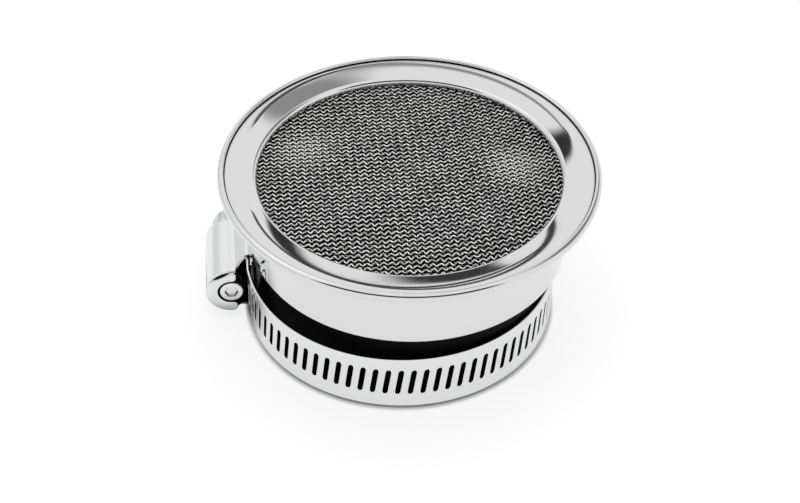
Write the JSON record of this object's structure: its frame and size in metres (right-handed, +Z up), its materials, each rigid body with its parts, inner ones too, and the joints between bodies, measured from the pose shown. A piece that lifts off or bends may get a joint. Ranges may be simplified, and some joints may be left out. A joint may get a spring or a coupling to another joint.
{
  "type": "bell mouth mesh air filter",
  "caption": "Low chrome bell mouth air filter with a woven wire mesh face, a black rubber neck sleeve and a loose worm drive clamp for fixing it to a round air intake.",
  "frame": {"origin": "centre of the sleeve's bore on the plane that the part stands on", "axes": "+Z up along the bore towards the mesh, -X towards the clamp's housing"},
  "size_m": [0.0812, 0.076, 0.0365],
  "materials": {
    "chrome": "mirror polished chrome plate",
    "mesh_wire": "bright drawn wire",
    "rubber": "smooth moulded black rubber",
    "foam": "black open cell foam",
    "band_steel": "bright rolled stainless strip",
    "zinc_plate": "bright zinc plate with a faint blue tint"
  },
  "bodies": {
    "filter": {"bell_shell": "chrome", "cover_ring": "chrome", "wire_mesh": "mesh_wire", "rubber_sleeve": "rubber", "filter_foam": "foam", "clamp_band": "band_steel", "clamp_housing": "zinc_plate"},
    "screw": {"clamp_screw": "zinc_plate"}
  },
  "joints": [
    {"name": "screw_turn", "type": "hinge", "parent": "filter", "child": "screw", "pos_m": [-0.03624, -0.00608, 0.00708], "axis": [-0.1045, 0.9945, 0], "continuous": true}
  ]
}
